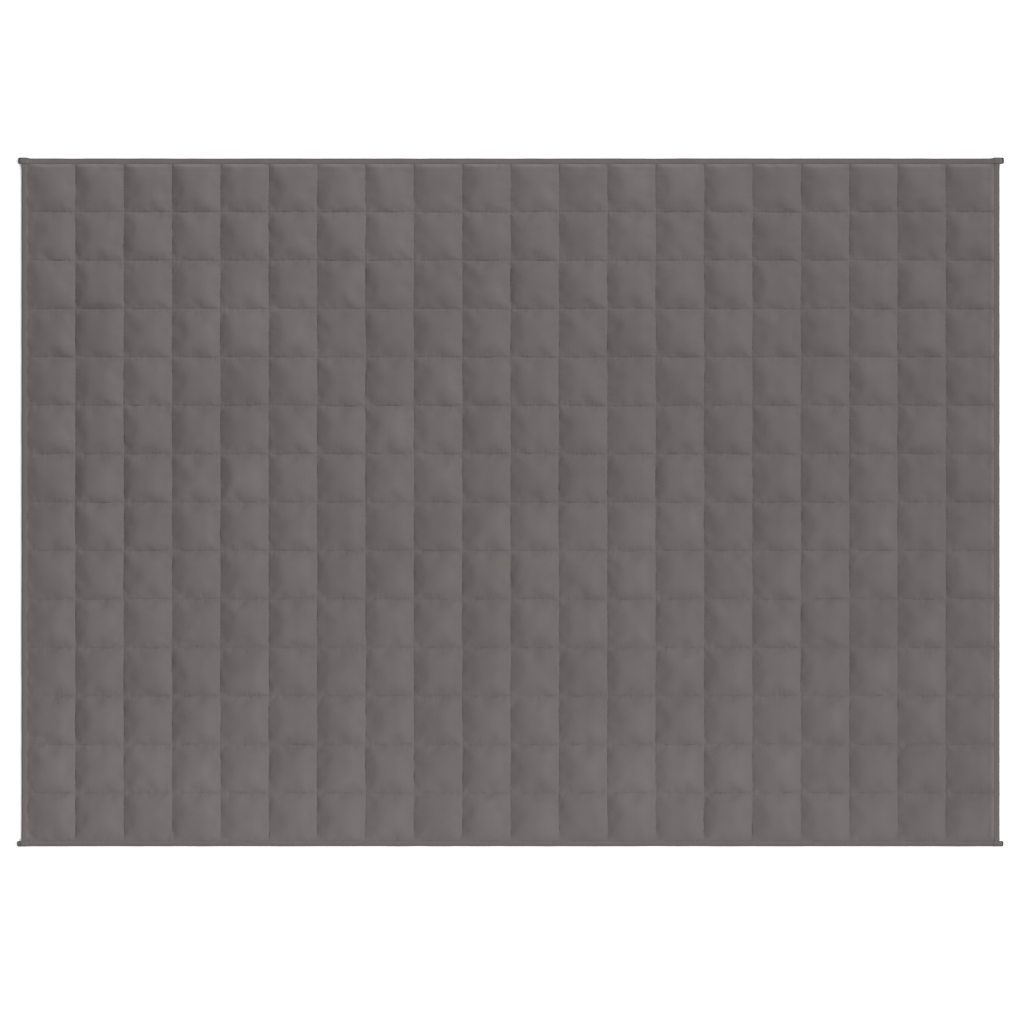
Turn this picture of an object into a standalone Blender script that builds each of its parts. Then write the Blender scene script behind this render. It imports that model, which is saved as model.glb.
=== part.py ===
"""A weighted blanket lying flat: a body quilted in squares, and the four tapes that bind its edges.

Metres, +X along the length, +Y along the width, +Z up. The origin is on the surface that the blanket
lies on, under its middle.
"""

import random

import bmesh
import bpy

LENGTH = 2.000  # over the side bindings, along X
COLUMNS = 20
ROWS = 14
BINDING_WIDTH = 0.0115  # what shows of a folded tape on the face

TAPE = 0.0012  # thickness of the turned-in tape
PRESSED = 0.0020  # thickness of the quilt where a seam presses it
CORNER_PRESSED = 0.0016  # the same at a corner, under two tapes
CROWN = 0.0140  # height of the fullest square
GAP = 0.0003  # between two pieces that touch
FOLD = 0.0010  # how far a tape's fold is rounded off

EAR_HEIGHT = 0.0036  # a tape's cut end, where it holds nothing
EAR_RISE = 0.0012  # how far that end spreads past the edge

# How far each end of the two long tapes stands out past the corner.
EARS = {
    "binding_top": {"left": 0.0065, "right": 0.0085},
    "binding_bottom": {"left": 0.0085, "right": 0.0075},
}

# The rings of a square's crown, from its seam to its middle: how far each is in from the last one, and
# its share of the crown's rise.
CROWN_RINGS = (
    {"inset": 0.0090, "share": 0.46},
    {"inset": 0.0160, "share": 0.40},
)
SEAM_SLOPE = 0.0100  # how far the underside takes to come down from a seam to the floor
LEAST_FILL = 0.84  # the emptiest square's rise, as a share of the fullest
LEAN = 0.0030  # how far a crown leans off the middle of its square
SEED = 20

CELL = (LENGTH - 2 * BINDING_WIDTH) / COLUMNS
HALF_LENGTH = LENGTH / 2
HALF_WIDTH = ROWS * CELL / 2 + BINDING_WIDTH
SEAM_LOW = TAPE + GAP
SEAM_HIGH = SEAM_LOW + PRESSED
BINDING_HIGH = SEAM_HIGH + GAP + TAPE
CORNER_LOW = 2 * (TAPE + GAP)
CORNER_HIGH = CORNER_LOW + CORNER_PRESSED
SIDE_CORNER_HIGH = CORNER_HIGH + GAP + TAPE
TOP_CORNER_HIGH = SIDE_CORNER_HIGH + GAP + TAPE

CLOTH_COLOUR = 0x726B6A
TAPE_COLOUR = 0x6A6464
CLOTH_ROUGHNESS = 0.95
TAPE_ROUGHNESS = 0.85


def linear(value):
    """One sRGB channel, 0 to 255, as the linear value that Blender's colours hold."""
    share = value / 255
    return share / 12.92 if share <= 0.04045 else ((share + 0.055) / 1.055) ** 2.4


def fabric(name, colour, roughness):
    material = bpy.data.materials.new(name)
    material.use_nodes = True
    shader = material.node_tree.nodes["Principled BSDF"]
    red, green, blue = (linear(channel) for channel in colour.to_bytes(3, "big"))
    shader.inputs["Base Color"].default_value = (red, green, blue, 1)
    shader.inputs["Roughness"].default_value = roughness
    shader.inputs["Metallic"].default_value = 0
    return material


def new_piece(name, bm, material, collection):
    mesh = bpy.data.meshes.new(name)
    bm.to_mesh(mesh)
    bm.free()
    mesh.materials.append(material)
    piece = bpy.data.objects.new(name, mesh)
    collection.objects.link(piece)
    return piece


def clear_scene():
    for old in list(bpy.data.objects):
        bpy.data.objects.remove(old, do_unlink=True)


def panel(bm, level, facing_down):
    """One cloth of the quilt as a flat grid at this height: a face for each square and a rim round them.

    It returns the squares' faces and the panel's outer edges.
    """
    across, along = COLUMNS + 2, ROWS + 2
    faces_before = len(bm.faces)
    grid = bmesh.ops.create_grid(bm, x_segments=across, y_segments=along, size=0.5)
    # The outermost ring of faces is drawn in to the rim that the tapes hold.
    rim_x = HALF_LENGTH - TAPE - GAP
    rim_y = HALF_WIDTH - TAPE - GAP
    for vert in grid["verts"]:
        x = vert.co.x * across * CELL
        y = vert.co.y * along * CELL
        vert.co = (max(-rim_x, min(rim_x, x)), max(-rim_y, min(rim_y, y)), level)
    faces = list(bm.faces)[faces_before:]
    if facing_down:
        bmesh.ops.reverse_faces(bm, faces=faces)
    squares = [face for face in faces if is_square(face)]
    outer = [edge for edge in bm.edges if edge.is_boundary and abs(edge.verts[0].co.z - level) < GAP]
    return squares, outer


def is_square(face):
    """True for a face of the quilting, and False for one of the rim."""
    middle = face.calc_center_median()
    inside_x = abs(middle.x) < HALF_LENGTH - BINDING_WIDTH
    inside_y = abs(middle.y) < HALF_WIDTH - BINDING_WIDTH
    return inside_x and inside_y


def raise_crowns(bm, squares):
    """Fills each square: two rings up from its seams, then its middle."""
    rise = CROWN - SEAM_HIGH
    for ring in CROWN_RINGS:
        bmesh.ops.inset_individual(
            bm,
            faces=squares,
            thickness=ring["inset"],
            depth=ring["share"] * rise,
            use_even_offset=True,
        )
    left = 1 - sum(ring["share"] for ring in CROWN_RINGS)
    bmesh.ops.poke(bm, faces=squares, offset=left * rise)


def lower_underside(bm, squares):
    """Lets the underside of each square come down to lie flat between its seams."""
    bmesh.ops.inset_individual(bm, faces=squares, thickness=SEAM_SLOPE, depth=SEAM_LOW, use_even_offset=True)


def settle_unevenly(bm):
    """Gives each square its own fullness, and leans its crown off the middle."""
    chance = random.Random(SEED)
    cells = [
        {
            "fill": chance.uniform(LEAST_FILL, 1),
            "lean_x": chance.uniform(-LEAN, LEAN),
            "lean_y": chance.uniform(-LEAN, LEAN),
        }
        for _ in range(COLUMNS * ROWS)
    ]
    # The middle square of the first row is the fullest, so that the blanket is CROWN high.
    cells[COLUMNS // 2]["fill"] = 1
    rise = CROWN - SEAM_HIGH
    for vert in bm.verts:
        if vert.co.z <= SEAM_HIGH + GAP:
            continue
        column = int(vert.co.x / CELL + COLUMNS / 2)
        row = int(vert.co.y / CELL + ROWS / 2)
        cell = cells[row * COLUMNS + column]
        share = (vert.co.z - SEAM_HIGH) / rise
        vert.co.x += cell["lean_x"] * share
        vert.co.y += cell["lean_y"] * share
        vert.co.z = SEAM_HIGH + cell["fill"] * share * rise


def lift_corners(verts, level):
    """Raises a panel's corners to where two tapes hold them."""
    for vert in verts:
        under_x = abs(vert.co.x) > HALF_LENGTH - BINDING_WIDTH - GAP
        under_y = abs(vert.co.y) > HALF_WIDTH - BINDING_WIDTH - GAP
        if under_x and under_y:
            vert.co.z = level


def make_body(collection):
    bm = bmesh.new()
    top_squares, top_edges = panel(bm, SEAM_HIGH, facing_down=False)
    under_squares, under_edges = panel(bm, SEAM_LOW, facing_down=True)
    bmesh.ops.bridge_loops(bm, edges=top_edges + under_edges)
    raise_crowns(bm, top_squares)
    lower_underside(bm, under_squares)
    settle_unevenly(bm)
    seams_high = [vert for vert in bm.verts if abs(vert.co.z - SEAM_HIGH) < GAP]
    seams_low = [vert for vert in bm.verts if abs(vert.co.z - SEAM_LOW) < GAP]
    lift_corners(seams_high, CORNER_HIGH)
    lift_corners(seams_low, CORNER_LOW)
    bmesh.ops.recalc_face_normals(bm, faces=bm.faces)
    bmesh.ops.triangulate(bm, faces=bm.faces)
    cloth = fabric("brushed_cloth", CLOTH_COLOUR, CLOTH_ROUGHNESS)
    return new_piece("quilted_body", bm, cloth, collection)


def folded_tape(half, spread, low, high):
    """The section of a tape folded over the edge that is half a length or width from the middle.

    Its points are (out from the middle, up) pairs. They run along the outside, from the underside's hem
    round the fold to the face's hem, and back inside.
    """
    hem = half - BINDING_WIDTH + GAP
    fold = half + spread
    return (
        (hem, low),
        (fold - FOLD, low),
        (fold, low + FOLD),
        (fold, high - FOLD),
        (fold - FOLD, high),
        (hem, high),
        (hem, high - TAPE),
        (fold - TAPE, high - TAPE),
        (fold - TAPE, low + TAPE),
        (hem, low + TAPE),
    )


def loft(name, rings, material, collection):
    """A closed piece through rings of as many points each, with a flat end at the first and the last."""
    bm = bmesh.new()
    loops = [[bm.verts.new(point) for point in ring] for ring in rings]
    count = len(loops[0])
    for near, far in zip(loops, loops[1:]):
        for i in range(count):
            j = (i + 1) % count
            bm.faces.new((near[i], near[j], far[j], far[i]))
    bm.faces.new(loops[0])
    bm.faces.new(loops[-1])
    bmesh.ops.recalc_face_normals(bm, faces=bm.faces)
    bmesh.ops.triangulate(bm, faces=bm.faces)
    return new_piece(name, bm, material, collection)


def make_side_binding(name, side, material, collection):
    """A tape down one short edge. Its ends lie inside the long tapes, so they are raised at the corners."""
    end = HALF_WIDTH - TAPE - GAP
    tucked = HALF_WIDTH - BINDING_WIDTH - GAP
    clear = tucked - CELL
    rows = (
        {"along": -end, "low": SEAM_LOW, "high": SIDE_CORNER_HIGH},
        {"along": -tucked, "low": SEAM_LOW, "high": SIDE_CORNER_HIGH},
        {"along": -clear, "low": 0, "high": BINDING_HIGH},
        {"along": clear, "low": 0, "high": BINDING_HIGH},
        {"along": tucked, "low": SEAM_LOW, "high": SIDE_CORNER_HIGH},
        {"along": end, "low": SEAM_LOW, "high": SIDE_CORNER_HIGH},
    )
    rings = []
    for row in rows:
        section = folded_tape(HALF_LENGTH, 0, row["low"], row["high"])
        rings.append([(side * out, row["along"], up) for out, up in section])
    return loft(name, rings, material, collection)


def make_long_binding(name, side, material, collection):
    """A tape along one long edge, over the ends of the side tapes. It stands out past both corners."""
    corner = HALF_LENGTH + GAP
    covered = HALF_LENGTH - BINDING_WIDTH - GAP
    clear = covered - CELL
    ears = EARS[name]
    rows = (
        {"along": -HALF_LENGTH - ears["left"], "high": EAR_HEIGHT, "spread": EAR_RISE},
        {"along": -corner, "high": TOP_CORNER_HIGH, "spread": EAR_RISE / 2},
        {"along": -covered, "high": TOP_CORNER_HIGH, "spread": 0},
        {"along": -clear, "high": BINDING_HIGH, "spread": 0},
        {"along": clear, "high": BINDING_HIGH, "spread": 0},
        {"along": covered, "high": TOP_CORNER_HIGH, "spread": 0},
        {"along": corner, "high": TOP_CORNER_HIGH, "spread": EAR_RISE / 2},
        {"along": HALF_LENGTH + ears["right"], "high": EAR_HEIGHT, "spread": EAR_RISE},
    )
    rings = []
    for row in rows:
        section = folded_tape(HALF_WIDTH, row["spread"], 0, row["high"])
        rings.append([(row["along"], side * out, up) for out, up in section])
    return loft(name, rings, material, collection)


def make_blanket():
    clear_scene()
    collection = bpy.data.collections.new("weighted_blanket")
    bpy.context.scene.collection.children.link(collection)
    make_body(collection)
    for name, side in (("binding_left", -1), ("binding_right", 1)):
        tape = fabric(name + "_tape", TAPE_COLOUR, TAPE_ROUGHNESS)
        make_side_binding(name, side, tape, collection)
    for name, side in (("binding_bottom", -1), ("binding_top", 1)):
        tape = fabric(name + "_tape", TAPE_COLOUR, TAPE_ROUGHNESS)
        make_long_binding(name, side, tape, collection)


make_blanket()
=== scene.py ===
import math
import random

import bmesh
import bpy
from mathutils import Matrix, Vector, noise


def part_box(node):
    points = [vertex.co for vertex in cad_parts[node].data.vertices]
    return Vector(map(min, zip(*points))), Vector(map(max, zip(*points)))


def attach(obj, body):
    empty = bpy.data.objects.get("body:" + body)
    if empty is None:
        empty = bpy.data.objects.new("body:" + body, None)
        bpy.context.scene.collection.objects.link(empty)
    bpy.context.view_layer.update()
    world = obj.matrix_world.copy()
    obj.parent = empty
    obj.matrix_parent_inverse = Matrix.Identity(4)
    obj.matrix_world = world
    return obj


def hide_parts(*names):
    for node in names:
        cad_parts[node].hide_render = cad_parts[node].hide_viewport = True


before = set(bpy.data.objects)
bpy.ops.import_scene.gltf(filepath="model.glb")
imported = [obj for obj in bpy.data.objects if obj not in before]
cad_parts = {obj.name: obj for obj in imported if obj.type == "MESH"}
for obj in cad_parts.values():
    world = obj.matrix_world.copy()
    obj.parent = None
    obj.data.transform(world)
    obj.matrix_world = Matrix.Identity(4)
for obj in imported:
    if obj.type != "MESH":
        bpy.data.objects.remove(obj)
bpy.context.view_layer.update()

MM = 0.001


# ------------------------------------------------------------------ the quilted body
# The blanket's two brushed microfibre cloths, with glass beads and thin wadding between them. They are sewn
# through each other in 20 by 14 squares. The front swells between the seams and puckers where the thread
# draws it in, and the back lies flat on the floor.

COLUMNS = 20
ROWS = 14
GAP = 0.05 * MM  # between two pieces that touch
HEM_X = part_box("binding_right")[0].x  # where the tapes' hems lie on the front
HEM_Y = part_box("binding_top")[0].y
HALF_X = HEM_X - GAP  # the outermost seams
HALF_Y = HEM_Y - GAP
CELL = 2 * HALF_X / COLUMNS
RIM = 8.4 * MM  # how far the pressed rim reaches into the tapes
RIM_X = HEM_X + RIM
RIM_Y = HEM_Y + RIM

SEAM_TOP = 3.5 * MM
ROW_SUNK = 0.15 * MM  # the thread sinks this far into the front, deeper in the seams that were sewn last
COLUMN_SUNK = 0.1 * MM
SEAM_UNDER = 1.5 * MM
ROW_BOW = 1.75 * MM  # a seam along X rises at mid-square, because the seams along Y were sewn first
# The outermost squares bulge against the tape's hem, and hide its thickness.
HEM_RISES = {"far": 0.7 * MM, "right": 0.7 * MM, "left": 0.1 * MM, "near": 0.7 * MM}
HEM_RISE_WIDE = 2 * MM
RIM_TOP = 3.1 * MM
TUCK_TOP = 3.5 * MM
# The tape squeezes the filling into a roll along each hem, this much fuller than the rest of its square.
HEM_ROLLS = {"far": 2.1 * MM, "right": 1.4 * MM, "left": -0.5 * MM, "near": 0}
ROLL_WIDE = 13 * MM
TUCK = 0.2 * MM  # past the outermost seam, the cloth dives under the tape
CORNER_TOP = 4.6 * MM  # a corner is lifted by the two tapes that wrap it
CORNER_UNDER = 3.0 * MM
CORNER_RAMP = 35 * MM
START_RISE = 8.75 * MM  # the front's rise before the beads swell it
DRAWN_WIDE = 14 * MM  # how far from a seam the back is drawn up
DENTS = ((1.1 * MM, 34 * MM), (0.4 * MM, 13 * MM))  # depth and size of the loose cloth's dents
WAVER = 1.5 * MM  # how far the sewing wanders, over how long a way, and how near the hems it is straight
WAVER_LONG = 70 * MM
WAVER_STOP = 30 * MM
FAR_HIGHLIGHT = 3 * MM  # where the painted highlight on the rolls along the hems is lightest, from the hem, and how wide
RIGHT_HIGHLIGHT = 2 * MM
HIGHLIGHT_WIDE = 6 * MM
LEFT_HIGHLIGHT_WIDE = 18 * MM

FRONT_STEPS = 18  # faces across a square
BACK_STEPS = 4
CROWDING = 1.65  # the faces crowd towards the seams, where the cloth bends most
STIFF_ALONG = 2.95  # a square is domed along X, between the seams that were sewn first
STIFF_ACROSS = 4.4  # and flatter along Y

FILL = (0.8, 1.0)  # from the emptiest square to a full one
LEAN = 0.22  # how much fuller than its middle a square may be at one side
LEFT_LEAN = 0.28  # the first squares are shaken off the left tape by this much more
chance = random.Random(27)
squares = {}
for row in range(ROWS):
    for column in range(COLUMNS):
        squares[column, row] = {
            "fill": chance.uniform(*FILL),
            "lean_x": chance.uniform(-LEAN, LEAN) + (LEFT_LEAN if column == 0 else 0),
            "lean_y": chance.uniform(-LEAN, LEAN),
        }


def square_at(x, y):
    """The square that holds this point, and the point's place in it, from -1 to 1 each way."""
    column = min(COLUMNS - 1, max(0, math.floor((x + HALF_X) / CELL)))
    row = min(ROWS - 1, max(0, math.floor((y + HALF_Y) / CELL)))
    u = ((x + HALF_X) / CELL - column) * 2 - 1
    v = ((y + HALF_Y) / CELL - row) * 2 - 1
    return squares[column, row], max(-1, min(1, u)), max(-1, min(1, v))


def corner_lift(x, y):
    """From 0 over most of the blanket to 1 at its corners."""
    near_x = 1 - (HALF_X - abs(x)) / CORNER_RAMP
    near_y = 1 - (HALF_Y - abs(y)) / CORNER_RAMP
    return max(0, min(1, near_x)) * max(0, min(1, near_y))


def row_bow(x, y):
    """How far a seam along X bows up here. At the hems it lies straight."""
    square, u, v = square_at(x, y)
    inward = max(0, min(1, (HALF_Y - abs(y)) / CELL))
    return ROW_BOW * (1 - abs(u) ** STIFF_ALONG) * math.sin(math.pi / 2 * inward)


def front_height(x, y):
    """How high the front lies before it swells: domed squares with their own fill, lean and dents."""
    lift = (CORNER_TOP - SEAM_TOP) * corner_lift(x, y)
    hems = {"far": HALF_Y - y, "near": HALF_Y + y, "right": HALF_X - x, "left": HALF_X + x}
    hem = min(hems, key=hems.get)
    to_hem = hems[hem]
    if to_hem < -TUCK / 2:
        return (TUCK_TOP if to_hem > -2 * TUCK else RIM_TOP) + lift
    square, u, v = square_at(x, y)
    dome = (1 - abs(u) ** STIFF_ALONG) * (1 - abs(v) ** STIFF_ACROSS)
    lean = 1 + square["lean_x"] * u + square["lean_y"] * v
    place = Vector((x, y, 0))
    dents = sum(depth * noise.noise(place / size) for depth, size in DENTS)
    inside = (1 - u ** 6) * (1 - v ** 6)
    bulge = HEM_RISES[hem] * max(0, 1 - to_hem / HEM_RISE_WIDE)
    if 0 < to_hem < ROLL_WIDE:
        ends = 1 - (u if hem in ("far", "near") else v) ** 6
        bulge += HEM_ROLLS[hem] * ends * math.sin(math.pi * (to_hem / ROLL_WIDE) ** 0.6)
    bow = row_bow(x, y)
    rise = START_RISE * square["fill"] * lean * dome + bow * abs(v) ** STIFF_ACROSS
    return SEAM_TOP + rise + dents * inside + bulge + lift


def hem_highlight(x, y):
    """How much painted highlight lightens the colour, from 0 to 1: on the rolls along the far and right hems,
    which face the lights, and as painted light over the shaded flank along the left hem, between the seams.
    """
    square, u, v = square_at(x, y)
    far = max(0, 1 - abs(HALF_Y - y - FAR_HIGHLIGHT) / HIGHLIGHT_WIDE) * (1 - u ** 4)
    right = max(0, 1 - abs(HALF_X - x - RIGHT_HIGHLIGHT) / HIGHLIGHT_WIDE) * (1 - v ** 4)
    left = max(0, 1 - (HALF_X + x) / LEFT_HIGHLIGHT_WIDE) * (1 - v ** 4)
    return max(far, 0.8 * right, 0.75 * left)


def back_height(x, y):
    """The back lies on the floor, and is drawn up to each seam."""
    square, u, v = square_at(x, y)
    inside = min(1 - abs(u), 1 - abs(v)) * CELL / 2
    drawn = max(0, 1 - inside / DRAWN_WIDE) ** 1.6
    lift = (CORNER_UNDER - SEAM_UNDER) * corner_lift(x, y)
    return (SEAM_UNDER + row_bow(x, y) * abs(v) ** 6) * drawn + lift


def seam_waver(x, y):
    """How far the sewing wanders off its straight line, in X and Y."""
    place = Vector((x, y, 0)) / WAVER_LONG
    elsewhere = place + Vector((31.4, 7.7, 2.2))
    free_x = min(1, max(0, HALF_X - abs(x)) / WAVER_STOP)
    free_y = min(1, max(0, HALF_Y - abs(y)) / WAVER_STOP)
    return WAVER * noise.noise(place) * free_x, WAVER * noise.noise(elsewhere) * free_y


def grid_line(step, steps, cells, rim):
    """Where a line of the cloth's grid lies. The first and the last are the rim, and next to it the tuck."""
    last = cells * steps + 4
    if step in (0, last):
        return -rim if step == 0 else rim
    if step in (1, last - 1):
        tuck = cells * CELL / 2 + TUCK
        return -tuck if step == 1 else tuck
    cell, inside = divmod(step - 2, steps)
    share = 2 * inside / steps
    if share <= 1:
        return (cell - cells / 2 + share ** CROWDING / 2) * CELL
    return (cell + 1 - cells / 2 - (2 - share) ** CROWDING / 2) * CELL


def lay_cloth(bm, steps, height):
    """One cloth of the quilt: a grid with its lines at the seams and the rim, laid at its height.

    Its seam layer says which points are sewn: 1 on a seam along Y, 2 on a seam along X, 3 where they cross,
    and 4 on the rim. The cloth has a sharp crease along each seam.
    """
    across = COLUMNS * steps + 4
    along = ROWS * steps + 4
    seam = bm.verts.layers.int.get("seam") or bm.verts.layers.int.new("seam")
    painted_highlight = bm.verts.layers.float.get("painted_highlight") or bm.verts.layers.float.new("painted_highlight")
    verts = bmesh.ops.create_grid(bm, x_segments=across, y_segments=along, size=0.5)["verts"]
    for vert in verts:
        i = round((vert.co.x + 0.5) * across)
        j = round((vert.co.y + 0.5) * along)
        x = grid_line(i, steps, COLUMNS, RIM_X)
        y = grid_line(j, steps, ROWS, RIM_Y)
        off_x, off_y = seam_waver(x, y)
        vert.co = (x + off_x, y + off_y, height(x, y))
        vert[painted_highlight] = hem_highlight(x, y) if height is front_height else 0
        if abs(x) > HALF_X + TUCK / 2 or abs(y) > HALF_Y + TUCK / 2:
            vert[seam] = 4
        else:
            vert[seam] = ((i - 2) % steps == 0) + 2 * ((j - 2) % steps == 0)
    for vert in verts:
        for edge in vert.link_edges:
            edge.smooth = not (edge.verts[0][seam] & edge.verts[1][seam] & 3)


def new_piece(name, bm):
    """A smooth object of that mesh, at the origin."""
    for face in bm.faces:
        face.smooth = True
    mesh = bpy.data.meshes.new(name)
    bm.to_mesh(mesh)
    bm.free()
    piece = bpy.data.objects.new(name, mesh)
    bpy.context.scene.collection.objects.link(piece)
    return piece


SWELL_FRAMES = 14
SWELL_CAP = 5 * MM  # no point moves further than this
LOOSE = 0.007  # the cloth is cut this much too large for its squares, and puckers


def swell(cloth):
    """Blows the front up between its seams with Blender's cloth simulation, and keeps the result."""
    sewn = cloth.data.attributes["seam"].data
    held = cloth.vertex_groups.new(name="sewn")
    held.add([index for index, point in enumerate(sewn) if point.value], 1, "REPLACE")
    simulation = cloth.modifiers.new("swell", "CLOTH")
    settings = simulation.settings
    settings.quality = 5
    settings.mass = 0.3
    settings.tension_stiffness = 15
    settings.compression_stiffness = 15
    settings.shear_stiffness = 5
    settings.bending_stiffness = 0.1
    settings.vertex_group_mass = held.name
    settings.use_pressure = True
    settings.uniform_pressure_force = 0.5
    settings.shrink_min = -LOOSE
    settings.effector_weights.gravity = 0
    simulation.collision_settings.use_collision = False
    for moment in range(1, SWELL_FRAMES + 1):
        bpy.context.scene.frame_set(moment)
    swollen = cloth.evaluated_get(bpy.context.evaluated_depsgraph_get()).data
    for vert, moved in zip(cloth.data.vertices, swollen.vertices):
        step = moved.co - vert.co
        if step.length > SWELL_CAP:
            step *= SWELL_CAP / step.length
        vert.co += step
    cloth.modifiers.remove(simulation)
    cloth.vertex_groups.clear()
    bpy.context.scene.frame_set(1)


bm = bmesh.new()
lay_cloth(bm, FRONT_STEPS, front_height)
body = new_piece("quilted_cloth", bm)
swell(body)

bm = bmesh.new()
bm.from_mesh(body.data)
seam = bm.verts.layers.int["seam"]
for vert in bm.verts:
    if vert[seam] in (1, 2, 3) and abs(vert.co.x) < HALF_X - TUCK and abs(vert.co.y) < HALF_Y - TUCK:
        vert.co.z -= COLUMN_SUNK if vert[seam] == 1 else ROW_SUNK
front_faces = len(bm.faces)
lay_cloth(bm, BACK_STEPS, back_height)
bmesh.ops.reverse_faces(bm, faces=list(bm.faces)[front_faces:])
bmesh.ops.bridge_loops(bm, edges=[edge for edge in bm.edges if edge.is_boundary])
for face in bm.faces:
    face.smooth = True
bm.to_mesh(body.data)
bm.free()


def srgb(colour):
    """An sRGB hex value as the linear red, green, blue and alpha that a shader takes."""
    channels = []
    for value in colour.to_bytes(3, "big"):
        share = value / 255
        channels.append(share / 12.92 if share <= 0.04045 else ((share + 0.055) / 1.055) ** 2.4)
    return (*channels, 1)


def add_node(tree, kind, inputs=(), **settings):
    """Adds a node, sets its properties, and gives each named input a value or another node's output."""
    node = tree.nodes.new(kind)
    for name, value in settings.items():
        setattr(node, name, value)
    for name, value in inputs:
        if isinstance(value, bpy.types.NodeSocket):
            tree.links.new(node.inputs[name], value)
        else:
            node.inputs[name].default_value = value
    return node


def new_material(name, inputs):
    """A material with the shader's own sockets set, and its node tree."""
    material = bpy.data.materials.new(name)
    material.use_nodes = True
    shader = material.node_tree.nodes["Principled BSDF"]
    for socket, value in inputs:
        shader.inputs[socket].default_value = value
    return material, material.node_tree, shader


# The nap scatters light softly and hides the weave. Brushed patches are a shade lighter or darker, and
# painted shade darkens the colour towards the seams, where small wrinkles run across them. The real nap is
# half a millimetre fine and lies in tufts of two millimetres: both are drawn more than twice as coarse, so
# that they show.
SEAM_SHADE_REACH = 32 * MM
PUCKER_REACH = 20 * MM
PUCKER_LONG = 28 * MM
PUCKER_WIDE = 9 * MM
# Each seam's axis, how dark its painted shade gets, and how its wrinkles are stretched.
PUCKERS = (
    ("X", 0.48, (1 / PUCKER_LONG, 1 / PUCKER_WIDE, 1)),
    ("Y", 0.28, (1 / PUCKER_WIDE, 1 / PUCKER_LONG, 1)),
)
microfibre, tree, shader = new_material("brushed_microfibre", [
    ("Roughness", 0.92),
    ("IOR", 1.46),
    ("Specular IOR Level", 0.25),
    ("Sheen Weight", 0.15),
    ("Sheen Roughness", 0.5),
    ("Sheen Tint", srgb(0xB8AEAA)),
])
place = add_node(tree, "ShaderNodeTexCoord").outputs["Object"]
broad = add_node(tree, "ShaderNodeTexNoise", [
    ("Vector", place), ("Scale", 1 / 0.22), ("Detail", 1.0), ("Roughness", 0.5)])
patches = add_node(tree, "ShaderNodeTexNoise", [
    ("Vector", place), ("Scale", 1 / 0.09), ("Detail", 3.0), ("Roughness", 0.55)])
brushed = add_node(tree, "ShaderNodeMath", [
    (0, broad.outputs["Fac"]), (1, patches.outputs["Fac"])], operation="ADD")
tone = add_node(tree, "ShaderNodeMapRange", [
    ("Value", brushed.outputs[0]), ("From Min", 0.57), ("From Max", 1.43)])
shade = add_node(tree, "ShaderNodeMix", [
    ("Factor", tone.outputs["Result"]), (6, srgb(0x5D5857)), (7, srgb(0x696463))], data_type="RGBA")
axes = add_node(tree, "ShaderNodeSeparateXYZ", [("Vector", place)])
heights = []
seam_shades = []
for axis, darkest, stretch in PUCKERS:
    from_seam = add_node(tree, "ShaderNodeMath", [
        (0, axes.outputs[axis]), (1, CELL / 2)], operation="PINGPONG")
    near_seam = add_node(tree, "ShaderNodeMapRange", [
        ("Value", from_seam.outputs[0]), ("From Min", 0.0), ("From Max", SEAM_SHADE_REACH),
        ("To Min", darkest), ("To Max", 0.0)], interpolation_type="SMOOTHSTEP")
    seam_shades.append(near_seam.outputs["Result"])
    across_seam = add_node(tree, "ShaderNodeMapping", [("Vector", place), ("Scale", stretch)])
    wrinkles = add_node(tree, "ShaderNodeTexNoise", [
        ("Vector", across_seam.outputs["Vector"]), ("Scale", 1.0), ("Detail", 1.5), ("Distortion", 0.5)])
    gathered = add_node(tree, "ShaderNodeMapRange", [
        ("Value", from_seam.outputs[0]), ("From Min", 0.0), ("From Max", PUCKER_REACH),
        ("To Min", 1.0), ("To Max", 0.0)], interpolation_type="SMOOTHSTEP")
    pucker = add_node(tree, "ShaderNodeMath", [
        (0, wrinkles.outputs["Fac"]), (1, gathered.outputs["Result"])], operation="MULTIPLY")
    heights.append(pucker.outputs[0])
# Painted shade: the colour darkens towards each seam, where shade falls in its crease.
crease = add_node(tree, "ShaderNodeMath", [(0, seam_shades[0]), (1, seam_shades[1])], operation="MAXIMUM")
seam_shaded = add_node(tree, "ShaderNodeMix", [
    ("Factor", crease.outputs[0]), (6, shade.outputs[2]), (7, srgb(0x5F5A59))], data_type="RGBA")
# Painted highlight on the rolls along the far and right hems, and painted light over the shade along the left
# hem.
ridge = add_node(tree, "ShaderNodeAttribute", attribute_name="painted_highlight")
highlighted = add_node(tree, "ShaderNodeMix", [
    ("Factor", ridge.outputs["Fac"]), (6, seam_shaded.outputs[2]), (7, srgb(0x6C6765))], data_type="RGBA")
tree.links.new(shader.inputs["Base Color"], highlighted.outputs[2])
puckers = add_node(tree, "ShaderNodeMath", [(0, heights[0]), (1, heights[1])], operation="ADD")
drawn = add_node(tree, "ShaderNodeBump", [
    ("Height", puckers.outputs[0]), ("Strength", 1.0), ("Distance", 1.1 * MM)])
pile = add_node(tree, "ShaderNodeTexNoise", [
    ("Vector", place), ("Scale", 1 / 0.005), ("Detail", 4.0), ("Roughness", 0.65)])
relief = add_node(tree, "ShaderNodeBump", [
    ("Height", pile.outputs["Fac"]), ("Strength", 1.0), ("Distance", 0.13 * MM),
    ("Normal", drawn.outputs["Normal"])])
nap = add_node(tree, "ShaderNodeTexNoise", [
    ("Vector", place), ("Scale", 1 / 0.0014), ("Detail", 2.0), ("Roughness", 0.6)])
tufted = add_node(tree, "ShaderNodeBump", [
    ("Height", nap.outputs["Fac"]), ("Strength", 1.0), ("Distance", 0.14 * MM),
    ("Normal", relief.outputs["Normal"])])
tree.links.new(shader.inputs["Normal"], tufted.outputs["Normal"])
body.data.materials.append(microfibre)

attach(body, "root")
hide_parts("quilted_body")


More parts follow.
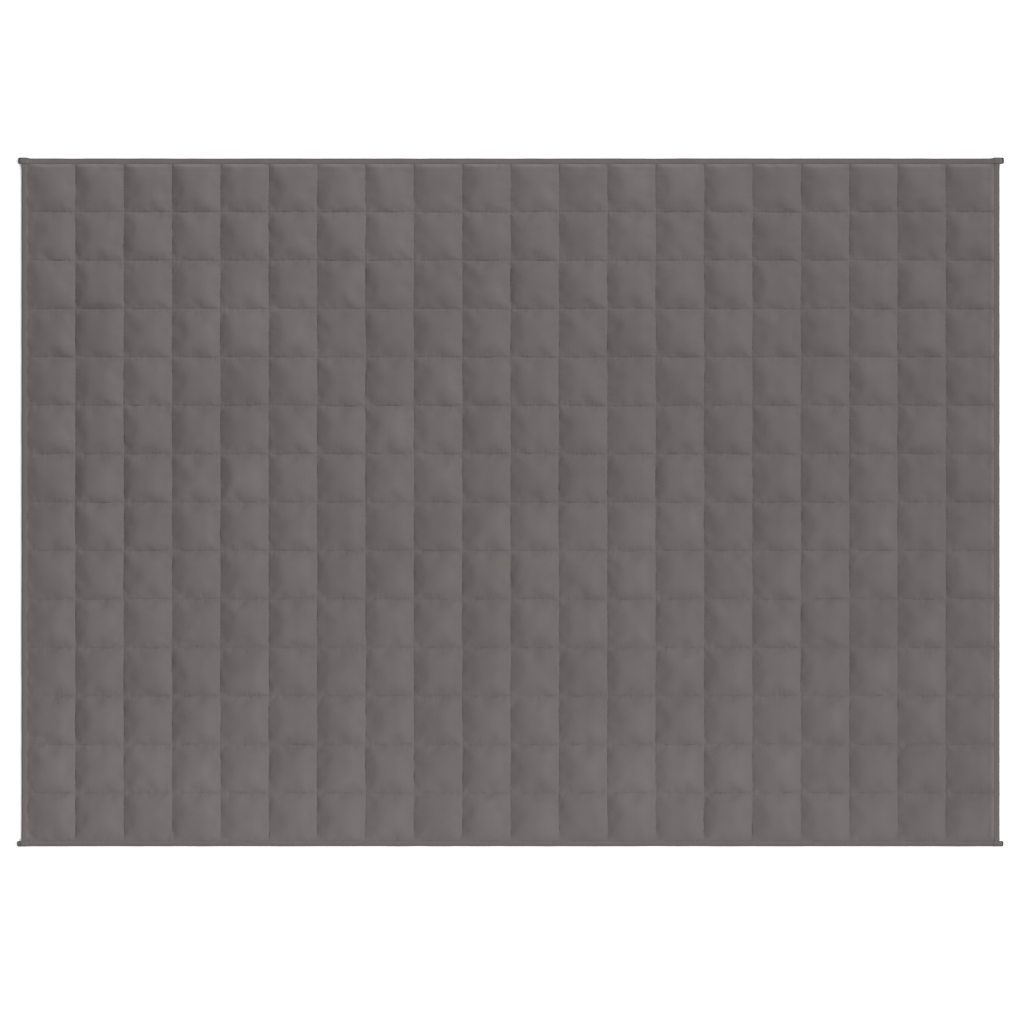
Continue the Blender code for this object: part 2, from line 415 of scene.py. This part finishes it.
# ------------------------------------------------------------------ the quilting threads
# Polyester thread the colour of the cloth, in lockstitches of a few millimetres along each seam. It shows on
# the front and the back alike, and lies sunk in the crease.

STITCH_PITCH = 3.6 * MM
STITCH_LONG = 3.1 * MM
STITCH_WIDE = 0.6 * MM
STITCH_HIGH = 0.4 * MM


def sew(name, start, end, runs, apart, lay):
    """Runs of stitches as one mesh: one stitch, repeated by two arrays, and laid point by point.

    lay puts (along the run, across the runs, up) in the blanket.
    """
    bm = bmesh.new()
    lengthwise = Matrix.Rotation(math.radians(90), 4, "Y")
    shape = Matrix.Diagonal((STITCH_HIGH, STITCH_WIDE, STITCH_LONG, 1))
    bmesh.ops.create_uvsphere(bm, u_segments=4, v_segments=3, radius=0.5, matrix=lengthwise @ shape)
    one = new_piece(name, bm)
    count = math.floor((end - start) / STITCH_PITCH)
    for number, step in ((count, (STITCH_PITCH, 0, 0)), (runs, (0, apart, 0))):
        array = one.modifiers.new("stitches", "ARRAY")
        array.count = number
        array.use_relative_offset = False
        array.use_constant_offset = True
        array.constant_offset_displace = step
    laid = bpy.data.meshes.new_from_object(one.evaluated_get(bpy.context.evaluated_depsgraph_get()))
    first = start + (end - start - (count - 1) * STITCH_PITCH) / 2
    for vert in laid.vertices:
        vert.co = lay(first + vert.co.x, vert.co.y - (runs - 1) * apart / 2, vert.co.z)
    one.modifiers.clear()
    one.data = laid
    laid.name = name
    laid.materials.append(thread)
    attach(one, "root")
    return one


def in_seam(x, y, up, level, corner_level):
    """A stitch's point moved to where its seam wanders, bows and is lifted at the corners."""
    off_x, off_y = seam_waver(x, y)
    seam_level = level + (corner_level - level) * corner_lift(x, y) + row_bow(x, y)
    return x + off_x, y + off_y, seam_level + up


# A tight twist, smoother than the nap. Its colour is painted a little lighter than the cloth's, painted light
# that lifts the shade of its crease so that it still shows. Its plies are drawn about twice as coarse as they
# are.
thread, tree, shader = new_material("polyester_thread", [
    ("Roughness", 0.55),
    ("IOR", 1.52),
    ("Specular IOR Level", 0.4),
])
place = add_node(tree, "ShaderNodeTexCoord").outputs["Object"]
plies = add_node(tree, "ShaderNodeTexNoise", [("Vector", place), ("Scale", 1 / 0.0008), ("Detail", 1.0)])
# Painted light: a tone a little lighter than the cloth.
shade = add_node(tree, "ShaderNodeMix", [
    ("Factor", plies.outputs["Fac"]), (6, srgb(0x635E5C)), (7, srgb(0x706A68))], data_type="RGBA")
tree.links.new(shader.inputs["Base Color"], shade.outputs[2])
twist = add_node(tree, "ShaderNodeBump", [
    ("Height", plies.outputs["Fac"]), ("Strength", 0.5), ("Distance", 0.1 * MM)])
tree.links.new(shader.inputs["Normal"], twist.outputs["Normal"])

for side, level, corner_level, columns_sunk, rows_sunk in (
    ("front", SEAM_TOP, CORNER_TOP, COLUMN_SUNK, ROW_SUNK),
    ("back", SEAM_UNDER, CORNER_UNDER, 0, 0),
):
    columns = sew(
        "column_stitches_" + side, -HALF_Y, HALF_Y, COLUMNS - 1, CELL,
        lambda along, across, up: in_seam(-across, along, up - columns_sunk, level, corner_level))
    rows = sew(
        "row_stitches_" + side, -HALF_X, HALF_X, ROWS - 1, CELL,
        lambda along, across, up: in_seam(along, across, up - rows_sunk, level, corner_level))


# ------------------------------------------------------------------ the bindings
# Four lengths of tape, cut from the same cloth with its edges turned in, folded over the rim and sewn down
# near the hem. The side tapes go on first. The long tapes wrap their ends, and stand out past the corners.

TAPE = 0.8 * MM
HEM_SHARE = 0.2  # of that thickness at the hem, which is pressed flat
WRAP = 14 * MM  # how much of the tape lies on each side of its fold line
TAPE_HIGH = 4.2 * MM
HEM_HIGH = 4.1 * MM  # the hem lies lower than the tape's face
HEM_CORNER = 5.2 * MM
SIDE_CORNER = (1.3 * MM, 5.8 * MM)  # underside and top of a side tape's end, inside the long tape
LONG_CORNER = 7.0 * MM  # top of a long tape over it
LONG_HEM = 6.4 * MM
HEM_SEAM = 2.6 * MM  # from the hem to the stitches
STITCH_DRAW = 0.1 * MM  # how far they draw the face down
TAPE_STEPS = 26
TAPE_PITCH = 5 * MM
HEM_TO_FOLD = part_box("binding_right")[1].x - HEM_X
SIDE_END = HEM_Y + 8.3 * MM
EAR = 4.8 * MM  # top of a long tape's cut end, where it holds nothing
EAR_HEM = 4.4 * MM
EAR_DROP = 5 * MM
RIDE = 0.15 * MM  # how far a tape rides up at mid-square, and its fold moves out
RIDE_OUT = 0.1 * MM
CROWN = 0.15 * MM  # how full the face is between its stitches and its fold
OVER_SIDE = 0.55  # this share of a long tape's rise at a corner is the side tape's own thickness
STEP_IN = 2.5 * MM  # where that step starts and ends, from the side tape's hem
STEP_OUT = 0.5 * MM
EAR_SPREAD_IN = 8 * MM  # where a long tape starts and ends spreading wider towards its ear
EAR_SPREAD_OUT = 2 * MM
HEM_WIDE = 2.2 * MM  # how wide the pressed hem is
GROOVE_WIDE = 0.8 * MM  # how wide the stitches draw the face down


def between(value, start, end):
    """0 before start, 1 after end, and smooth between them."""
    share = max(0, min(1, (value - start) / (end - start)))
    return share * share * (3 - 2 * share)


def puff(along, half):
    """How the tape rides up at mid-square and is drawn down at each seam, from 1 to 0."""
    if abs(along) > half:
        return 0
    return 0.5 - 0.5 * math.cos(2 * math.pi * (along + half) / CELL)


def side_tape(along):
    """A side tape's underside, hem, top, crown and width. The long tapes wrap its raised ends."""
    tucked = between(abs(along), HALF_Y - CORNER_RAMP, HALF_Y)
    ride = puff(along, HALF_Y)
    hem = HEM_HIGH + (HEM_CORNER - HEM_HIGH) * tucked
    high = TAPE_HIGH + (SIDE_CORNER[1] - TAPE_HIGH) * tucked + RIDE * ride
    return SIDE_CORNER[0] * tucked, hem, high, CROWN * (1 - tucked), HEM_TO_FOLD + RIDE_OUT * ride


def long_tape(along, ear_spread):
    """The same of a long tape: raised over the side tapes' ends, and low again at its own cut ends."""
    over = between(abs(along), HALF_X - CORNER_RAMP, HALF_X)
    on_side = between(abs(along), HALF_X - STEP_IN, HALF_X + STEP_OUT)
    past = between(abs(along), HALF_X + HEM_TO_FOLD, HALF_X + HEM_TO_FOLD + EAR_DROP)
    ride = puff(along, HALF_X)
    hem = HEM_HIGH + (HEM_CORNER - HEM_HIGH) * over + (LONG_HEM - HEM_CORNER) * on_side
    climb = (1 - OVER_SIDE) * over + OVER_SIDE * on_side
    high = TAPE_HIGH + (LONG_CORNER - TAPE_HIGH) * climb + RIDE * ride
    hem += (EAR_HEM - hem) * past
    high += (EAR - high) * past
    spread = ear_spread * between(abs(along), HALF_X - EAR_SPREAD_IN, HALF_X + EAR_SPREAD_OUT)
    return 0, hem, high, CROWN * (1 - past), HEM_TO_FOLD + RIDE_OUT * ride + spread


def thickness_share(out):
    """The tape's thickness at this distance from the hem, as a share of its full thickness."""
    return HEM_SHARE + (1 - HEM_SHARE) * between(out, 0, HEM_WIDE)


def face_height(out, flat, hem, high, crown):
    """How high the tape's face lies: low at the hem, drawn down by the stitches, full before the fold."""
    rise = (high - hem) * between(out, 0, HEM_WIDE)
    groove = STITCH_DRAW * math.exp(-(((out - HEM_SEAM) / GROOVE_WIDE) ** 2))
    fullness = crown * math.sin(math.pi * max(0, min(1, (out - HEM_SEAM) / (flat - HEM_SEAM))))
    return hem + rise - groove + fullness


def tape_section(across, low, hem, high, crown, width):
    """How far out from the hem the middle of the tape's thickness lies, how high, and its thickness share.

    across runs from the back's hem (0) round the fold to the front's hem (1).
    """
    bottom = low + TAPE / 2
    top = high - TAPE / 2
    radius = (top - bottom) / 2
    flat = width - TAPE / 2 - radius
    way = across * (2 * flat + math.pi * radius)
    if way < flat:
        share = thickness_share(way)
        return way, low + share * TAPE / 2, share
    if way < flat + math.pi * radius:
        turn = (way - flat) / radius
        return flat + radius * math.sin(turn), bottom + radius * (1 - math.cos(turn)), 1
    out = 2 * flat + math.pi * radius - way
    share = thickness_share(out)
    return out, face_height(out, flat, hem, high, crown) - share * TAPE / 2, share


FINER_ENDS = 0.75  # how much shorter the faces are towards the ends
EDGE_WAVER = 0.3 * MM  # how far the fold wanders, and over how long a way
EDGE_WAVER_LONG = 37 * MM
SQUEEZE = 0.3  # how much narrower a cut end is pressed, and over what length
SQUEEZE_LONG = 3 * MM
# Painted shade at the cut ends and along the ears' open ends, where shade falls into the folded tape.
END_SHADE_GAIN = 1.6  # past 1, the painted shade at a cut end is darkest over some of its length
EAR_SHADE_WIDE = 1 * MM


def make_tape(name, node, start, end, shape, crease, cuts, place):
    """A folded tape and its stitches. place puts (along, out from the hem, up) in the blanket.

    crease says where painted shade darkens the tape along its fold, how wide it is there and how dark, and
    cuts how far painted shade darkens its first and its last end.
    """
    crease_at, crease_wide, crease_dark = crease
    bm = bmesh.new()
    painted_fold_shade = bm.verts.layers.float.new("painted_fold_shade")
    painted_end_shade = bm.verts.layers.float.new("painted_end_shade")
    full = bm.verts.layers.deform.verify()
    flat_cloth = bm.loops.layers.uv.new("flat_cloth")
    cut_place = {}
    steps = round((end - start) / TAPE_PITCH)
    grid = bmesh.ops.create_grid(bm, x_segments=steps, y_segments=TAPE_STEPS, size=0.5)
    for vert in grid["verts"]:
        share = vert.co.x + 0.5
        share -= FINER_ENDS * math.sin(2 * math.pi * share) / (2 * math.pi)
        along = start + share * (end - start)
        across = vert.co.y + 0.5
        low, hem, high, crown, width = shape(along)
        own_waver = len(name) * 7.3  # no two tapes' names are equally long
        width += EDGE_WAVER * noise.noise(Vector((along / EDGE_WAVER_LONG, own_waver, 0.5)))
        out, up, full_share = tape_section(across, low, hem, high, crown, width)
        # Painted shade along the fold.
        vert[painted_fold_shade] = crease_dark * max(0, 1 - abs(across - crease_at) / crease_wide)
        to_start = along - start
        to_end = end - along
        # Painted shade, nearly black at the cut ends and along the ears' open ends.
        cut_end = min(1, END_SHADE_GAIN * max(0, 1 - to_start / cuts[0], 1 - to_end / cuts[1]))
        ear_edge = between(abs(along), HALF_X + HEM_TO_FOLD, HALF_X + HEM_TO_FOLD + EAR_SHADE_WIDE)
        ear_edge *= max(0, 1 - (1 - across) / 0.07, 1 - abs(across - 0.57) / 0.08)
        vert[painted_end_shade] = max(cut_end, ear_edge)
        vert[full][0] = full_share
        drawn = SQUEEZE * max(0, 1 - min(to_start, to_end) / SQUEEZE_LONG) ** 2
        vert.co = place(along, out + (width / 2 - out) * drawn, up)
        cut_place[vert] = (along, across * 2 * WRAP)
    for face in bm.faces:
        for loop in face.loops:
            loop[flat_cloth].uv = cut_place[loop.vert]
    tape = new_piece(name, bm)
    tape.vertex_groups.new(name="full")
    tape.data.materials.append(tape_cloth)
    thickness = tape.modifiers.new("thickness", "SOLIDIFY")
    thickness.thickness = TAPE
    thickness.offset = 0
    thickness.vertex_group = "full"
    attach(tape, "root")
    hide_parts(node)

    def on_face(along, across, up):
        low, hem, high, crown, width = shape(along)
        flat = width - TAPE / 2 - (high - low - TAPE) / 2
        return place(along, HEM_SEAM - across, face_height(HEM_SEAM, flat, hem, high, crown) + up)

    sew(name + "_stitches", start + EAR_DROP, end - EAR_DROP, 1, 0, on_face)


# The same cloth with its pile pressed down, so its weave shows: half a millimetre apart, and drawn about
# twice as coarse. Painted shade darkens the fold, and makes the ears' open ends nearly black. Slanting drag
# lines show how the tape was pulled round the edge.
tape_cloth, tree, shader = new_material("folded_tape", [
    ("Roughness", 0.88),
    ("IOR", 1.46),
    ("Specular IOR Level", 0.25),
    ("Sheen Weight", 0.12),
    ("Sheen Roughness", 0.5),
])
flat_place = add_node(tree, "ShaderNodeUVMap", uv_map="flat_cloth").outputs["UV"]
# Painted shade along the fold, towards a darker colour.
fold = add_node(tree, "ShaderNodeAttribute", attribute_name="painted_fold_shade")
patches = add_node(tree, "ShaderNodeTexNoise", [
    ("Vector", flat_place), ("Scale", 1 / 0.03), ("Detail", 3.0)])
tone = add_node(tree, "ShaderNodeMix", [
    ("Factor", patches.outputs["Fac"]), (6, srgb(0x5D5857)), (7, srgb(0x65605F))], data_type="RGBA")
shade = add_node(tree, "ShaderNodeMix", [
    ("Factor", fold.outputs["Fac"]), (6, tone.outputs[2]), (7, srgb(0x4A4645))], data_type="RGBA")
# Painted shade at the tape's ends and the ears.
cut = add_node(tree, "ShaderNodeAttribute", attribute_name="painted_end_shade")
edged = add_node(tree, "ShaderNodeMix", [
    ("Factor", cut.outputs["Fac"]), (6, shade.outputs[2]), (7, srgb(0x2C2928))], data_type="RGBA")
tree.links.new(shader.inputs["Base Color"], edged.outputs[2])
slant = add_node(tree, "ShaderNodeMapping", [
    ("Vector", flat_place), ("Rotation", (0, 0, math.radians(35))),
    ("Scale", (1 / 0.004, 1 / 0.022, 1))])
drag = add_node(tree, "ShaderNodeTexNoise", [
    ("Vector", slant.outputs["Vector"]), ("Scale", 1.0), ("Detail", 1.0)])
pulled = add_node(tree, "ShaderNodeBump", [
    ("Height", drag.outputs["Fac"]), ("Strength", 1.0), ("Distance", 0.5 * MM)])
weave = add_node(tree, "ShaderNodeTexNoise", [
    ("Vector", flat_place), ("Scale", 1 / 0.0012), ("Detail", 2.0)])
relief = add_node(tree, "ShaderNodeBump", [
    ("Height", weave.outputs["Fac"]), ("Strength", 0.6), ("Distance", 0.2 * MM),
    ("Normal", pulled.outputs["Normal"])])
tree.links.new(shader.inputs["Normal"], relief.outputs["Normal"])

# The painted shade along each fold is darkest on the left and the top, and faint on the right, which faces
# the key light.
make_tape(
    "tape_left", "binding_left", -SIDE_END, SIDE_END, side_tape, (0.55, 0.10, 1.0), (1 * MM, 1 * MM),
    lambda along, out, up: (-HEM_X - out, -along, up))
make_tape(
    "tape_right", "binding_right", -SIDE_END, SIDE_END, side_tape, (0.55, 0.08, 0.1), (1 * MM, 1 * MM),
    lambda along, out, up: (HEM_X + out, along, up))
make_tape(
    "tape_top", "binding_top", -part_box("binding_top")[1].x, -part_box("binding_top")[0].x,
    lambda along: long_tape(along, 2.0 * MM), (0.58, 0.07, 1.0), (4.5 * MM, 2.2 * MM),
    lambda along, out, up: (-along, HEM_Y + out, up))
make_tape(
    "tape_bottom", "binding_bottom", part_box("binding_bottom")[0].x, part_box("binding_bottom")[1].x,
    lambda along: long_tape(along, 0.3 * MM), (0.71, 0.06, 0.8), (2.2 * MM, 4 * MM),
    lambda along, out, up: (along, -HEM_Y - out, up))


# ------------------------------------------------------------------ the studio
# A pale floor, a soft key light from the right of the picture, two low lights along the long edges and a
# pale surround. The camera looks straight down from well above.

bm = bmesh.new()
bmesh.ops.create_grid(bm, x_segments=1, y_segments=1, size=14)
for vert in bm.verts:
    vert.co.z = -0.2 * MM
floor = new_piece("studio_floor", bm)
# Matt paper with a little light of its own, as on a light table, so the blanket's shadow stays faint.
paper, tree, shader = new_material("pale_paper", [
    ("Base Color", srgb(0xFAFAFA)),
    ("Roughness", 0.9),
    ("Emission Color", srgb(0xFFFFFF)),
    ("Emission Strength", 0.3),
])
floor.data.materials.append(paper)


def strip_light(name, place, aim, size, power, colour):
    light = bpy.data.lights.new(name, "AREA")
    light.color = colour
    light.shape = "RECTANGLE"
    light.size, light.size_y = size
    light.energy = power
    lamp = bpy.data.objects.new(name, light)
    bpy.context.scene.collection.objects.link(lamp)
    lamp.location = place
    lamp.rotation_euler = (Vector(aim) - Vector(place)).to_track_quat("-Z", "Y").to_euler()


def far_light(name, toward, spread, power):
    light = bpy.data.lights.new(name, "SUN")
    light.energy = power
    light.angle = math.radians(spread)
    lamp = bpy.data.objects.new(name, light)
    bpy.context.scene.collection.objects.link(lamp)
    lamp.rotation_euler = Vector(toward).to_track_quat("-Z", "Y").to_euler()


far_light("key", (-1, -0.1, -0.9), 25, 2.73)
far_light("top_fill", (0, -1, -1), 25, 0.75)
strip_light("far_strip", (0, 2.3, 1.1), (0, 0.2, 0), (3.2, 0.4), 24.8, (1, 0.99, 1))
strip_light("near_strip", (0, -1.85, 1.05), (0, -0.3, 0), (3.2, 0.4), 21.9, (1, 0.93, 0.97))

world = bpy.data.worlds.new("pale_surround")
bpy.context.scene.world = world
world.use_nodes = True
world.node_tree.nodes["Background"].inputs["Color"].default_value = srgb(0xF6F6F6)
world.node_tree.nodes["Background"].inputs["Strength"].default_value = 0.145

PIXEL = 2.0426 * MM  # what a pixel of the 1024-pixel picture covers on the blanket
EYE_HEIGHT = 8.0
camera = bpy.data.cameras.new("camera")
camera.sensor_width = 36
camera.lens = 36 * EYE_HEIGHT / (1024 * PIXEL)
eye = bpy.data.objects.new("camera", camera)
bpy.context.scene.collection.objects.link(eye)
eye.location = (1.47 * PIXEL, -9.61 * PIXEL, EYE_HEIGHT + 0.01)
bpy.context.scene.camera = eye
bpy.context.scene.view_settings.view_transform = "Standard"
